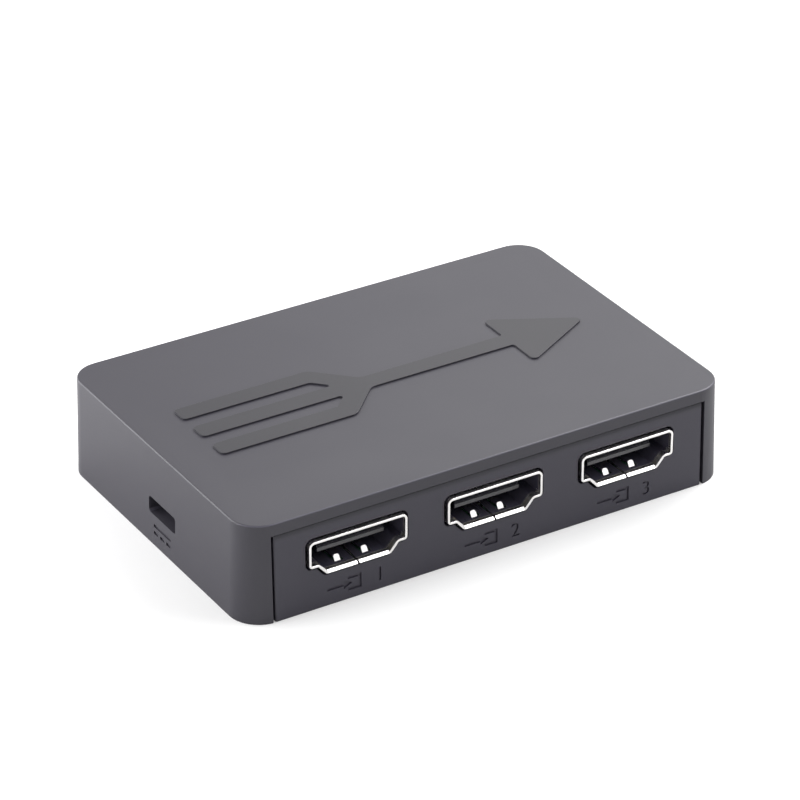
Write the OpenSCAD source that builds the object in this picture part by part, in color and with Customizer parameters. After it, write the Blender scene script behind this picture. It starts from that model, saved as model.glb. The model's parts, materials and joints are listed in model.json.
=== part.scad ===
// Three-input video switch box. A drafted cover drops over a base tray whose two upright
// connector panels stand in notches in the cover's long walls. The tray carries a circuit
// board with three input sockets at the front, an output socket, a select button and three
// indicator lamps at the back, and a small power socket in the left wall.
// Millimetres, +Z up, the inputs face -Y, the origin is under the middle of the case.

/* [Case] */
// Length of the case at its foot
case_l = 75; // [68:0.5:90]
// Depth of the case at its foot
case_w = 50; // [46:0.5:60]
// Height of the case
case_h = 14.5; // [13.5:0.25:18]
// Corner radius at the foot
corner_r = 4.5; // [3.5:0.1:5.5]
// Draft of the cover's walls, in degrees
draft = 1.4; // [0.5:0.1:2]
// Rounding along the cover's top edge
edge_r = 0.25; // [0.2:0.05:0.8]
// Thickness of the cover's walls
wall = 2; // [1.6:0.1:2.3]
// Thickness of the cover's roof
roof_t = 1.8; // [1.2:0.1:2.2]
// Fillet inside, where the roof meets the walls
inner_r = 0.6; // [0.3:0.1:1]
// Thickness of the base tray's floor
floor_t = 1.6; // [1.2:0.1:2]
// Clearance between the tray and the cover
fit_gap = 0.2; // [0.1:0.05:0.3]
// Thickness of the ribs and lips inside the case
rib_t = 1; // [0.8:0.1:1.4]
// Depth of the ribs under the roof
rib_h = 1.2; // [0.6:0.1:1.6]
// Height of the locating lips on the tray's floor
lip_h = 1.2; // [0.6:0.1:1.3]
// Length of the locating lips
lip_l = 24; // [16:1:28]

/* [Connector panels] */
// Width of the cover's corner beside each panel
post_w = 4; // [3.8:0.1:5]
// Height of the cover's wall above each panel
lintel_h = 1.75; // [1.4:0.05:2.2]
// Gap between the panels and the cover
panel_gap = 0.4; // [0.2:0.05:0.5]
// Thickness of the panels
panel_t = 1.6; // [1.2:0.1:2]
// Depth of the panels' faces behind the cover's walls
panel_inset = 0.05; // [0:0.05:0.3]
// Bevel around each panel's face
panel_bevel = 0.15; // [0.1:0.05:0.3]

/* [Screws] */
// Radius of the screw bosses
boss_r = 2.3; // [2.1:0.1:2.5]
// Gap between a screw boss and the walls beside it
boss_gap = 0.6; // [0.4:0.1:0.9]
// Height at which the tray's screw tubes meet the cover's bosses
boss_z = 3.2; // [2.8:0.1:4]
// Radius of the screw's shank
screw_r = 1; // [0.8:0.05:1.2]
// Length of the screw's shank
screw_l = 7; // [5:0.5:8]
// Radius of the screw's head
head_r = 1.9; // [1.6:0.05:2]
// Height of the screw's head
head_h = 1; // [0.8:0.1:1.2]
// Depth of the head below the underside
head_sink = 0.4; // [0.2:0.05:0.6]
// Clearance around the screws in the tray
screw_gap = 0.15; // [0.1:0.05:0.25]
// Clearance of the screw's thread in the cover
pilot_gap = 0.03; // [0.02:0.01:0.05]

/* [Circuit board] */
// Thickness of the board
board_t = 1.6; // [1:0.1:2]
// Height of the board above the tray's floor
board_lift = 1.4; // [1.35:0.05:2]
// Gap between the board and the panels
board_gap = 0.25; // [0.15:0.05:0.5]
// Gap between the board and the cover's end walls
board_side = 0.7; // [0.4:0.1:1.2]
// Clearance around the screw bosses, the pins and the soldered legs
board_clear = 0.2; // [0.1:0.05:0.35]
// Radius of the posts that hold the board
support_r = 1.6; // [1.4:0.1:1.8]
// Radius of the pins on top of the tray's posts
pin_r = 0.9; // [0.7:0.05:1]
// Distance of the posts and the roof ribs from the middle of the case
support_y = 8.6; // [8:0.1:9]
// How far soldered legs stand out below the board
leg_out = 0.6; // [0.3:0.05:0.8]

/* [Video sockets] */
// Space between the outer input sockets and the panel's ends
socket_margin = 4.9; // [4:0.05:6]
// How far the shells stand out of the panels
socket_proud = 0.4; // [0.2:0.05:0.6]
// Outer width of a shell
socket_w = 14.7; // [14.4:0.1:15]
// Outer height of a shell
socket_h = 5.25; // [5:0.05:5.6]
// Depth of a shell
socket_d = 11.6; // [11:0.1:13]
// Thickness of the folded sheet
sheet_t = 0.35; // [0.2:0.05:0.35]
// Height of the shoulders above the shell's floor
shoulder_h = 1.35; // [1.2:0.05:1.6]
// Width between the shoulders
shoulder_w = 12; // [11.6:0.1:12.4]
// Width of the shell's narrow floor
foot_w = 9.6; // [9.2:0.1:10]
// Radius of the upper corners
upper_r = 0.8; // [0.6:0.05:1]
// Radius of the lower corners and the shoulders
lower_r = 0.5; // [0.46:0.02:0.6]
// Height of the shell above the board
socket_lift = 0.4; // [0.2:0.05:0.6]
// Clearance of the panel's cut-out round a shell
socket_gap = 0.35; // [0.25:0.05:0.45]
// Gap at the seam in the shell's floor
seam_w = 0.3; // [0.1:0.05:0.5]
// Width of a shell's soldered leg
leg_w = 1.2; // [0.8:0.1:1.4]
// Place of the front legs behind the mouth
leg_front = 4.4; // [4.2:0.1:5.5]
// Place of the rear legs behind the mouth
leg_rear = 9.6; // [9:0.1:10.2]

/* [Spring fingers] */
// Width of a spring finger
finger_w = 0.85; // [0.8:0.05:1.2]
// Slot round a finger
finger_slot = 0.25; // [0.15:0.05:0.35]
// Place of the fingers either side of the middle
finger_x = 2.07; // [1.6:0.01:2.6]
// Place of a finger's tip behind the mouth
finger_tip = 2.15; // [2.15:0.05:2.3]
// Place of its bend behind the mouth
finger_bend = 2.6; // [2.55:0.05:2.8]
// Place of its root behind the mouth
finger_root = 6.4; // [5.5:0.1:6.6]
// How far a finger is bent into the socket
finger_rise = 0.45; // [0.35:0.05:0.55]
// How far its tip dips into its slot
finger_dip = 0.15; // [0.1:0.05:0.25]

/* [Tongues and contacts] */
// Width of a video socket's tongue
tongue_w = 10; // [9.8:0.1:10.4]
// Thickness of a tongue
tongue_t = 1.2; // [1:0.05:1.4]
// Height of the tongue's middle above the shell's floor
tongue_rise = 2.15; // [2:0.05:2.4]
// Place of the tongue's tip behind the mouth
tongue_tip = 2.15; // [2.15:0.05:2.5]
// Bevel along the tongue's tip
tongue_bevel = 0.35; // [0.2:0.05:0.4]
// Place of the moulding's front face behind the mouth
block_front = 7; // [6.9:0.1:8]
// Gap between the moulding's back and the shell's back
block_back_gap = 0.8; // [0.6:0.05:1]
// Length of the moulding's foot on the board
block_foot_l = 1.9; // [1.5:0.1:2.2]
// Width of the moulding's foot on the board
block_foot_w = 7.6; // [6:0.1:8]
// Clearance of a moulding inside its shell
block_gap = 0.05; // [0.03:0.01:0.1]
// Number of contacts above a video socket's tongue
upper_count = 10; // [8:1:10]
// Number of contacts below a video socket's tongue
lower_count = 9; // [7:1:9]
// Spacing of a video socket's contacts
contact_pitch = 1; // [0.9:0.05:1.02]
// Width of a contact
contact_w = 0.35; // [0.25:0.05:0.4]
// Thickness of a contact
contact_t = 0.15; // [0.1:0.01:0.2]
// Distance of a video socket's contacts behind the tongue's bevel
contact_setback = 1.2; // [0.5:0.1:2]
// Length of the soldered tails on the board
tail_l = 1.3; // [1:0.1:1.6]

/* [Power socket] */
// Place of the power socket along the left wall
power_y = -2.45; // [-6:0.05:4]
// Outer width of its shell
power_w = 7.4; // [7:0.1:8]
// Outer height of its shell
power_h = 2.4; // [2.3:0.05:2.8]
// Depth of its shell
power_d = 5.2; // [5:0.1:6]
// Thickness of its sheet
power_sheet_t = 0.25; // [0.15:0.05:0.3]
// Width of its narrow floor
power_foot_w = 5.2; // [4.8:0.1:5.6]
// Height of its slanted sides
power_slant_h = 1; // [0.8:0.05:1.1]
// Radius of its corners
power_r = 0.4; // [0.35:0.05:0.5]
// Gap between its mouth and the wall's inner face
power_gap = 0.2; // [0.15:0.05:0.4]
// Width of the window in the wall
power_window_w = 7.2; // [7:0.1:8]
// Height of the window in the wall
power_window_h = 2.4; // [2.2:0.05:2.8]
// Radius of the window's corners
power_window_r = 0.45; // [0.2:0.05:0.8]
// Width of its tongue
power_tongue_w = 3.7; // [3.6:0.05:4]
// Thickness of its tongue
power_tongue_t = 0.6; // [0.5:0.05:0.7]
// Bevel along its tongue's tip
power_tongue_bevel = 0.15; // [0.1:0.05:0.2]
// Place of its tongue's tip behind the mouth
power_tongue_tip = 1; // [0.8:0.1:1.4]
// Length of its moulding
power_block_l = 1.5; // [1.2:0.1:2]
// Number of its contacts
power_contact_count = 5; // [3:1:5]
// Spacing of its contacts
power_pitch = 0.65; // [0.6:0.01:0.7]

/* [Select button] */
// Radius of the button
button_r = 2.3; // [1.8:0.05:2.35]
// Clearance of the button in the panel
button_gap = 0.15; // [0.1:0.05:0.2]
// How far the button stands out of the panel
button_proud = 0.35; // [0.3:0.05:0.4]
// Radius of the flange behind the panel
flange_r = 2.75; // [2.7:0.01:2.8]
// Thickness of the flange
flange_t = 0.8; // [0.5:0.1:1]
// Depth of the dish in the button's face
dish_h = 0.2; // [0.1:0.05:0.3]
// Travel of the button and of the switch
press = 0.3; // [0.2:0.05:0.35]
// Width and height of the switch behind the button
switch_s = 5.8; // [5.7:0.1:6.2]
// Depth of the switch's body
switch_d = 3.4; // [3:0.1:4]
// Radius of the chamber in the switch
chamber_r = 2.2; // [2.1:0.05:2.4]
// Depth of the chamber in the switch
chamber_d = 1.7; // [1.65:0.05:2]
// Thickness of the switch's cover plate
plate_t = 0.25; // [0.2:0.05:0.35]
// Radius of the plunger
plunger_r = 1.2; // [1:0.05:1.4]
// How far the plunger stands out of the cover plate
plunger_proud = 0.9; // [0.8:0.05:1.2]
// Rest gap between the pieces of the push train
rest_gap = 0.05; // [0.03:0.01:0.08]
// Radius of the snap dome
dome_r = 2; // [1.8:0.05:2]
// Height of the snap dome
dome_h = 0.55; // [0.5:0.05:0.6]
// Thickness of the snap dome
dome_t = 0.1; // [0.08:0.01:0.15]

/* [Indicator lamps] */
// Spacing of the three lamps
lamp_pitch = 5; // [4:0.25:5]
// Radius of the light guide's posts
guide_r = 1; // [0.8:0.05:1.2]
// Clearance of the posts in the panel
guide_gap = 0.12; // [0.08:0.01:0.2]
// How far the posts stand out of the panel
guide_proud = 0.25; // [0.1:0.05:0.4]
// Depth of the bar that joins the posts
guide_d = 2; // [1.6:0.1:2.6]
// Height of the bar above the board
guide_lift = 1.3; // [1:0.1:1.5]
// Length of one lamp chip
lamp_l = 1.6; // [1.2:0.1:2]
// Width of one lamp chip
lamp_w = 0.8; // [0.6:0.1:1]
// Height of one lamp chip
lamp_h = 0.7; // [0.5:0.1:0.8]

/* [Parts on the board] */
// Side of the video chip
chip_s = 10; // [9:0.5:11]
// Height of the chips
chip_h = 1.4; // [1:0.1:1.6]
// Gap under the chips
chip_gap = 0.1; // [0.05:0.05:0.2]
// Number of leads on each side of the video chip
chip_lead_count = 12; // [8:1:12]
// Spacing of the video chip's leads
chip_pitch = 0.65; // [0.5:0.05:0.7]
// Length of the control chip
control_l = 9.9; // [9:0.1:10.4]
// Width of the control chip
control_w = 3.9; // [3.6:0.1:4.4]
// Place of the control chip, left of the middle
control_x = 16; // [14:0.5:18]
// Number of leads on each long side of the control chip
control_lead_count = 8; // [6:1:8]
// Spacing of the control chip's leads
control_pitch = 1.27; // [1:0.01:1.3]
// How far leads reach past a chip
lead_reach = 1; // [0.8:0.1:1.2]
// Width of a lead
lead_w = 0.3; // [0.2:0.05:0.4]
// Thickness of a lead
lead_t = 0.15; // [0.1:0.05:0.2]
// Length of the crystal's can
crystal_l = 11; // [9:0.5:12]
// Width of the crystal's can
crystal_w = 4.6; // [4:0.1:5]
// Height of the crystal's can
crystal_h = 3.5; // [2.5:0.1:4]
// Place of the crystal, right of the middle
crystal_x = 17; // [15:0.5:20]
// Flange round the crystal's base
crystal_flange = 0.4; // [0.3:0.05:0.6]
// Length of the regulator
regulator_l = 6.5; // [5.5:0.1:7]
// Width of the regulator
regulator_w = 3.5; // [3:0.1:4]
// Height of the regulator
regulator_h = 1.6; // [1.2:0.1:1.8]
// Distance of the regulator from the board's left end
regulator_inset = 7; // [6:0.5:8]
// Distance of the regulator behind the power socket
regulator_behind = 9; // [8.5:0.1:10]
// Radius of the smoothing capacitors
can_r = 2; // [1.6:0.1:2.4]
// Height of the smoothing capacitors
can_h = 5.2; // [4.5:0.1:5.6]
// Height of a smoothing capacitor's plastic base
can_base_h = 0.9; // [0.6:0.1:1.2]
// How far the base reaches past the can
can_base_rim = 0.15; // [0.1:0.05:0.3]
// Depth of the groove at the foot of the can
can_groove = 0.2; // [0.1:0.05:0.3]
// Gap between the two smoothing capacitors
can_gap = 0.9; // [0.5:0.1:1.5]
// Distance of the smoothing capacitors behind the middle of the case
can_y = 11.7; // [11.5:0.1:12]
// Length of a chip resistor or ceramic capacitor
passive_l = 1.6; // [1:0.1:1.8]
// Width of a chip resistor or ceramic capacitor
passive_w = 0.8; // [0.5:0.05:0.9]
// Height of a chip resistor
resistor_h = 0.45; // [0.3:0.05:0.6]
// Height of a ceramic capacitor
ceramic_h = 0.8; // [0.5:0.05:0.9]
// Number of resistors behind each input socket
resistor_count = 8; // [4:1:8]

/* [Hidden] */
$fn = 64;

// Steps in each rounded corner of a folded shell
arc_steps = 6;
// Cuts run this far past the faces they open
past = 1;

// Heights, from the floor up
board_z = floor_t + board_lift;
board_top = board_z + board_t;
socket_mid = board_top + socket_lift + socket_h / 2;
button_z = board_top + switch_s / 2;
notch_top = case_h - lintel_h;
panel_top = notch_top - panel_gap;
roof_z = case_h - roof_t;

// How far a drafted wall has moved in at height z
function lean(z) = z * tan(draft);

// Distance of a panel's face from the middle of the case at height z
function face_at(z) = case_w / 2 - panel_inset - lean(z);

// Planes across the depth, the same at the front and the back
mouth_y = face_at(socket_mid) + socket_proud;
panel_face = face_at(button_z);
panel_back = face_at(panel_top) - panel_t;
notch_back = min(panel_back, case_w / 2 - wall - lean(notch_top)) - fit_gap;
board_edge = panel_back - board_gap;

// Planes along the length
notch_l = case_l - 2 * post_w;
panel_l = notch_l - 2 * panel_gap;
socket_pitch = (panel_l - socket_w) / 2 - socket_margin;
support_x = socket_pitch / 2;
board_l = case_l - 2 * (wall + board_side);
boss_x = case_l / 2 - wall - boss_gap - boss_r;
boss_y = case_w / 2 - wall - boss_gap - boss_r;
power_mouth_x = case_l / 2 - wall - lean(board_top + power_h / 2) - power_gap;

// Places inside a video socket, from its mouth and the board's top
shell_floor = socket_lift + sheet_t;
tongue_z = shell_floor + tongue_rise;
block_back = socket_d - block_back_gap;
block_foot_y = block_back - block_foot_l;

// Places behind the back panel, on the push train's axis
flange_front = panel_back - rest_gap;
flange_back = flange_front - flange_t;
plunger_end = flange_back - rest_gap;
plate_face = plunger_end - plunger_proud;
switch_face = plate_face - plate_t;
chamber_floor = switch_face - chamber_d;

// Screw heights
head_top = head_sink + head_h;

function unit(v) = v / norm(v);

// Outward normal of the edge from p to q on a counter-clockwise outline
function edge_normal(p, q) = unit([q.y - p.y, p.x - q.x]);

// Outline moved outwards by d, or inwards where d is negative
function grown(pts, d) =
    let(n = len(pts))
    [
        for (i = [0 : n - 1])
            let(a = edge_normal(pts[(i + n - 1) % n], pts[i]), b = edge_normal(pts[i], pts[(i + 1) % n]))
            pts[i] + d * (a + b) / (1 + a * b)
    ];

// Outline of a strip of thickness t that follows a path, on the path's right
function strip_outline(path, t) =
    let(
        n = len(path),
        sides = [for (i = [0 : n - 2]) edge_normal(path[i], path[i + 1])],
        far_side = [
            for (i = [0 : n - 1])
                let(a = sides[max(i - 1, 0)], b = sides[min(i, n - 2)])
                path[i] + t * (a + b) / (1 + a * b)
        ]
    )
    [for (i = [0 : n - 1]) path[i], for (i = [n - 1 : -1 : 0]) far_side[i]];

function angle_of(v) = atan2(v.y, v.x);

// Smallest turn from angle a to angle b
function turn_between(a, b) = (b - a + 540) % 360 - 180;

// Arc of radius r that rounds the corner at q, between p and s
function corner_arc(p, q, s, r) =
    let(
        u = unit(p - q),
        v = unit(s - q),
        half = acos(u * v) / 2,
        centre = q + unit(u + v) * r / sin(half),
        start = angle_of(q + u * r / tan(half) - centre),
        turn = turn_between(start, angle_of(q + v * r / tan(half) - centre))
    )
    [
        for (i = [0 : arc_steps])
            let(a = start + turn * i / arc_steps)
            centre + r * [cos(a), sin(a)]
    ];

// Outline with a radius of its own at each corner
function rounded(pts, radii) =
    let(n = len(pts))
    [
        for (i = [0 : n - 1])
            each corner_arc(pts[(i + n - 1) % n], pts[i], pts[(i + 1) % n], radii[i])
    ];

// Outline of a video socket's shell, on the board's top, moved out by d
function socket_edge(d) =
    let(
        floor_x = foot_w / 2,
        step_x = shoulder_w / 2,
        side_x = socket_w / 2,
        low = socket_lift,
        step = socket_lift + shoulder_h,
        high = socket_lift + socket_h
    )
    grown(
        rounded(
            [
                [-floor_x, low], [floor_x, low], [step_x, step], [side_x, step],
                [side_x, high], [-side_x, high], [-side_x, step], [-step_x, step]
            ],
            [lower_r, lower_r, lower_r, lower_r, upper_r, upper_r, lower_r, lower_r]
        ),
        d
    );

// Outline of the power socket's shell, on the board's top, moved out by d
function power_edge(d) =
    let(
        floor_x = power_foot_w / 2,
        side_x = power_w / 2
    )
    grown(
        rounded(
            [
                [-floor_x, 0], [floor_x, 0], [side_x, power_slant_h],
                [side_x, power_h], [-side_x, power_h], [-side_x, power_slant_h]
            ],
            [for (i = [0 : 5]) power_r]
        ),
        d
    );

// Extrudes an outline drawn on the X-Z plane, from y0 to y1
module run_back(y0, y1) {
    translate([0, y1, 0]) rotate([90, 0, 0]) linear_extrude(y1 - y0) children();
}

// Extrudes an outline drawn on the Y-Z plane, to a width w centred on x = 0
module across(w) {
    rotate([90, 0, 90]) linear_extrude(w, center = true) children();
}

// Box from one corner to the opposite one
module box(low, high) {
    translate(low) cube(high - low);
}

// Puts a cylinder's axis along +Y
module facing_back() {
    rotate([-90, 0, 0]) children();
}

// Distances along a row of equally spaced pieces, from its middle
function row_places(count, pitch) = [for (i = [0 : count - 1]) (i - (count - 1) / 2) * pitch];

// Places of the repeated pieces
module at_corners(x, y) {
    for (sx = [-1, 1], sy = [-1, 1]) translate([sx * x, sy * y, 0]) children();
}

module at_input(i) {
    translate([(i - 2) * socket_pitch, -mouth_y, board_top]) children();
}

module at_output() {
    translate([0, mouth_y, board_top]) rotate(180) children();
}

module at_video_sockets() {
    for (i = [1 : 3]) at_input(i) children();
    at_output() children();
}

module at_power() {
    translate([-power_mouth_x, power_y, board_top]) rotate(-90) children();
}

module at_button() {
    translate([-socket_pitch, 0, button_z]) facing_back() children();
}

module at_lamps() {
    for (i = [-1 : 1]) translate([socket_pitch + i * lamp_pitch, 0, 0]) children();
}

// Section through a drafted wall: from below the foot up to its rounded top edge
module wall_section(back, r, h, below, edge) {
    centre = r - lean(h) + edge * tan(draft) - edge / cos(draft);
    polygon([
        [-back, -below], [r + lean(below), -below],
        [centre + edge * cos(draft), h - edge + edge * sin(draft)],
        [centre, h], [-back, h]
    ]);
    translate([centre, h - edge]) circle(edge);
}

// Solid block with drafted walls, rounded corners and a rounded top edge
module drafted_block(l, w, h, r, below, edge) {
    half_l = l / 2 - r;
    half_w = w / 2 - r;
    across(2 * half_l)
        for (side = [0, 1]) mirror([side, 0]) translate([half_w, 0]) wall_section(half_w, r, h, below, edge);
    run_back(-half_w, half_w)
        for (side = [0, 1]) mirror([side, 0]) translate([half_l, 0]) wall_section(half_l, r, h, below, edge);
    for (quarter = [0 : 3])
        let(mid = quarter * 90 + 45)
        translate([sign(cos(mid)) * half_l, sign(sin(mid)) * half_w, 0])
        rotate(quarter * 90)
        rotate_extrude(angle = 90) wall_section(0, r, h, below, edge);
}

// Pieces of the case
module top_cover() {
    color("#5d5d63") difference() {
        union() {
            difference() {
                drafted_block(case_l, case_w, case_h, corner_r, 0, edge_r);
                drafted_block(case_l - 2 * wall, case_w - 2 * wall, roof_z, corner_r - wall, past, inner_r);
            }
            cover_bosses();
            cover_supports();
            roof_ribs();
        }
        for (side = [-1, 1]) scale([1, side, 1]) panel_notch();
        power_window();
        at_corners(boss_x, boss_y) translate([0, 0, boss_z - past])
            cylinder(r = screw_r + pilot_gap, h = past + screw_l + head_top + past - boss_z);
    }
}

// Screw bosses under the roof, each with a rib to the end wall
module cover_bosses() {
    at_corners(boss_x, boss_y) translate([0, 0, boss_z])
        cylinder(r = boss_r, h = roof_z + roof_t / 2 - boss_z);
    for (sx = [0, 1], sy = [-1, 1])
        mirror([sx, 0, 0])
        box(
            [boss_x, sy * boss_y - rib_t / 2, board_top],
            [case_l / 2 - wall / 2 - lean(case_h), sy * boss_y + rib_t / 2, roof_z + roof_t / 2]
        );
}

// Posts that press the board onto the tray's posts
module cover_supports() {
    at_corners(support_x, support_y) translate([0, 0, board_top])
        cylinder(r = support_r, h = roof_z + roof_t / 2 - board_top);
}

// Stiffening ribs under the roof
module roof_ribs() {
    for (sy = [-1, 1])
        box(
            [-case_l / 2 + wall / 2 + lean(case_h), sy * support_y - rib_t / 2, roof_z - rib_h],
            [case_l / 2 - wall / 2 - lean(case_h), sy * support_y + rib_t / 2, roof_z + roof_t / 2]
        );
}

// Opening in a long wall for a connector panel, cut in past the wall's leaning inner face
module panel_notch() {
    box([-notch_l / 2, notch_back, -past], [notch_l / 2, case_w / 2 + past, notch_top]);
}

// Opening in the left wall for the power socket
module power_window() {
    half_w = power_window_w / 2;
    half_h = power_window_h / 2;
    translate([-case_l / 2, power_y, board_top + power_h / 2]) rotate(-90)
        run_back(-past, wall + past) polygon(rounded(
            [[-half_w, -half_h], [half_w, -half_h], [half_w, half_h], [-half_w, half_h]],
            [for (i = [0 : 3]) power_window_r]
        ));
}

module base_tray() {
    color("#47474d") difference() {
        union() {
            linear_extrude(floor_t) tray_outline();
            for (turn = [0, 180]) rotate(turn) panel_plate();
            tray_lips();
            at_corners(boss_x, boss_y) cylinder(r = boss_r, h = boss_z);
            at_corners(support_x, support_y) {
                cylinder(r = support_r, h = board_z);
                cylinder(r = pin_r, h = board_top - board_clear);
            }
        }
        at_video_sockets() run_back(-past, mouth_y - panel_back + past) polygon(socket_edge(socket_gap));
        at_button() translate([0, 0, panel_back - past])
            cylinder(r = button_r + button_gap, h = panel_t + 2 * past);
        at_lamps() translate([0, panel_back - past, button_z]) facing_back()
            cylinder(r = guide_r + guide_gap, h = panel_t + 2 * past);
        at_corners(boss_x, boss_y) {
            translate([0, 0, -past]) cylinder(r = screw_r + screw_gap, h = boss_z + 2 * past);
            translate([0, 0, -past]) cylinder(r = head_r + screw_gap, h = head_top + past);
        }
    }
}

// Floor of the tray, inside the cover's walls and out into the panels
module tray_outline() {
    r = corner_r - wall - fit_gap;
    half_l = case_l / 2 - wall - fit_gap;
    half_w = case_w / 2 - wall - fit_gap;
    square([2 * half_l, 2 * (half_w - r)], center = true);
    square([2 * (half_l - r), 2 * half_w], center = true);
    at_corners(half_l - r, half_w - r) circle(r);
    square([panel_l, 2 * panel_back + panel_t], center = true);
}

// Upright panel at the front: its face leans with the cover's wall and is bevelled round its edge
module panel_plate() {
    bevel = panel_bevel * sqrt(2);
    difference() {
        across(panel_l) polygon([
            [-panel_back, 0], [-panel_back, panel_top],
            [panel_bevel - face_at(panel_top), panel_top],
            [-face_at(panel_top - panel_bevel), panel_top - panel_bevel],
            [-face_at(0), 0]
        ]);
        for (side = [-1, 1])
            translate([side * panel_l / 2, -face_at(0), 0]) rotate([-draft, 0, 0]) rotate(45)
            cube([bevel, bevel, 3 * panel_top], center = true);
    }
}

// Lips that locate the tray between the cover's end walls
module tray_lips() {
    for (sx = [0, 1])
        mirror([sx, 0, 0])
        box(
            [case_l / 2 - wall - fit_gap - rib_t, -lip_l / 2, 0],
            [case_l / 2 - wall - fit_gap - lean(floor_t + lip_h), lip_l / 2, floor_t + lip_h]
        );
}

// Self-tapping screws, driven up from below
module case_screws() {
    drive_w = head_r / 3;
    drive_l = head_r * 1.2;
    drive_d = head_h * 0.6;
    color("#3a3a3c") at_corners(boss_x, boss_y) difference() {
        union() {
            translate([0, 0, head_sink]) cylinder(r = head_r, h = head_h);
            translate([0, 0, head_top]) cylinder(r = screw_r, h = screw_l - screw_r);
            translate([0, 0, head_top + screw_l - screw_r])
                cylinder(r1 = screw_r, r2 = screw_r / 3, h = screw_r);
        }
        for (turn = [0, 90])
            translate([0, 0, head_sink]) rotate(turn) cube([drive_l, drive_w, 2 * drive_d], center = true);
    }
}

module circuit_board() {
    notch = [board_l / 2 - boss_x + boss_r + board_clear, board_edge - boss_y + boss_r + board_clear];
    color("#1d5c3d") difference() {
        translate([0, 0, board_z]) linear_extrude(board_t) difference() {
            square([board_l, 2 * board_edge], center = true);
            at_corners(board_l / 2, board_edge) square(2 * notch, center = true);
            at_corners(support_x, support_y) circle(pin_r + board_clear);
        }
        at_video_sockets() shell_leg_places() leg_slot(sheet_t, leg_w);
        at_power() power_leg_places() leg_slot(power_sheet_t, leg_w);
        translate([0, 0, board_top]) switch_pin_places() leg_slot(lead_w, lead_w);
    }
}

// Slot through the board for a soldered leg, from the board's top down
module leg_slot(x, y) {
    translate([0, 0, -board_t / 2])
        cube([x + 2 * board_clear, y + 2 * board_clear, board_t + 2 * past], center = true);
}

// Video sockets: a folded shell, a moulding with its tongue, and two rows of contacts
module shell_leg_places() {
    for (sx = [-1, 1], y = [leg_front, leg_rear])
        translate([sx * (socket_w - sheet_t) / 2, y, 0]) children();
}

// Stands its children on the floor and the roof of a shell, with +Z into the socket
module at_fingers() {
    for (sx = [-1, 1]) {
        translate([sx * finger_x, 0, socket_lift]) children();
        translate([sx * finger_x, 0, socket_lift + socket_h]) rotate([0, 180, 0]) children();
    }
}

// Strip cut free of a wall, bent in and back again at its end
module spring_finger() {
    across(finger_w) polygon(strip_outline(
        [[finger_root + sheet_t, 0], [finger_root, 0], [finger_bend, finger_rise], [finger_tip, -finger_dip]],
        sheet_t
    ));
}

// Half section of a round post that ends in a dome: radius r, dome height h, length below the dome
module domed_section(r, h, length) {
    ball_r = (r * r + h * h) / (2 * h);
    intersection() {
        translate([0, h - ball_r]) circle(ball_r);
        square([r, h]);
    }
    translate([0, -length]) square([r, length]);
}

module finger_window() {
    box(
        [-finger_w / 2 - finger_slot, finger_tip - sheet_t - finger_slot, -sheet_t],
        [finger_w / 2 + finger_slot, finger_root, 2 * sheet_t]
    );
}

module socket_shell() {
    color("#d8d6cd") {
        difference() {
            run_back(0, socket_d) polygon(socket_edge(0));
            run_back(-past, socket_d + past) polygon(socket_edge(-sheet_t));
            at_fingers() finger_window();
            box([-seam_w / 2, -past, 0], [seam_w / 2, socket_d + past, shell_floor + sheet_t]);
            box(
                [-foot_w, block_foot_y - block_gap, 0],
                [foot_w, socket_d + past, shell_floor + block_gap]
            );
        }
        at_fingers() spring_finger();
        intersection() {
            run_back(socket_d - sheet_t, socket_d) polygon(socket_edge(0));
            box([-socket_w, 0, socket_lift + shoulder_h], [socket_w, socket_d, socket_lift + socket_h]);
        }
        shell_leg_places()
            box(
                [-sheet_t / 2, -leg_w / 2, -board_t - leg_out],
                [sheet_t / 2, leg_w / 2, socket_lift + shoulder_h + 2 * lower_r]
            );
    }
}

// Blade of a tongue, with a bevelled tip, from y0 to y1 about the height z
module blade(w, t, z, y0, y1, bevel) {
    across(w) polygon([
        [y1, z - t / 2], [y1, z + t / 2],
        [y0 + bevel, z + t / 2], [y0, z + t / 2 - bevel],
        [y0, z - t / 2 + bevel], [y0 + bevel, z - t / 2]
    ]);
}

module socket_tongue() {
    color("#232427") difference() {
        union() {
            run_back(block_front, block_back) polygon(socket_edge(-sheet_t - block_gap));
            blade(tongue_w, tongue_t, tongue_z, tongue_tip, block_back, tongue_bevel);
            box([-block_foot_w / 2, block_foot_y, 0], [block_foot_w / 2, block_back, tongue_z]);
        }
        for (z = [tongue_z + tongue_t / 2, tongue_z - tongue_t / 2 - contact_t])
            box([-tongue_w / 2, block_front - past, z], [tongue_w / 2, block_back + past, z + contact_t]);
    }
}

// Contact strip at height z that turns down behind the moulding to a tail on the board
module contact_strip(z, y0, y1) {
    across(contact_w) polygon([
        [y0, z], [y0, z + contact_t], [y1 + contact_t, z + contact_t], [y1 + contact_t, contact_t],
        [y1 + tail_l, contact_t], [y1 + tail_l, 0], [y1, 0], [y1, z]
    ]);
}

module socket_contacts() {
    front = tongue_tip + tongue_bevel + contact_setback;
    color("#c9a24d") {
        for (x = row_places(upper_count, contact_pitch))
            translate([x, 0, 0]) contact_strip(tongue_z + tongue_t / 2, front, block_back);
        for (x = row_places(lower_count, contact_pitch))
            translate([x, 0, 0]) contact_strip(tongue_z - tongue_t / 2 - contact_t, front, block_back);
    }
}

// Power socket: the same construction at a smaller size
power_block_back = power_d - 2 * power_sheet_t;
power_block_front = power_block_back - power_block_l;
power_tongue_z = power_h - power_sheet_t - power_tongue_t;
power_leg_y = power_d - leg_w;

module power_leg_places() {
    for (sx = [-1, 1]) translate([sx * (power_w - power_sheet_t) / 2, power_leg_y, 0]) children();
}

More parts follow.
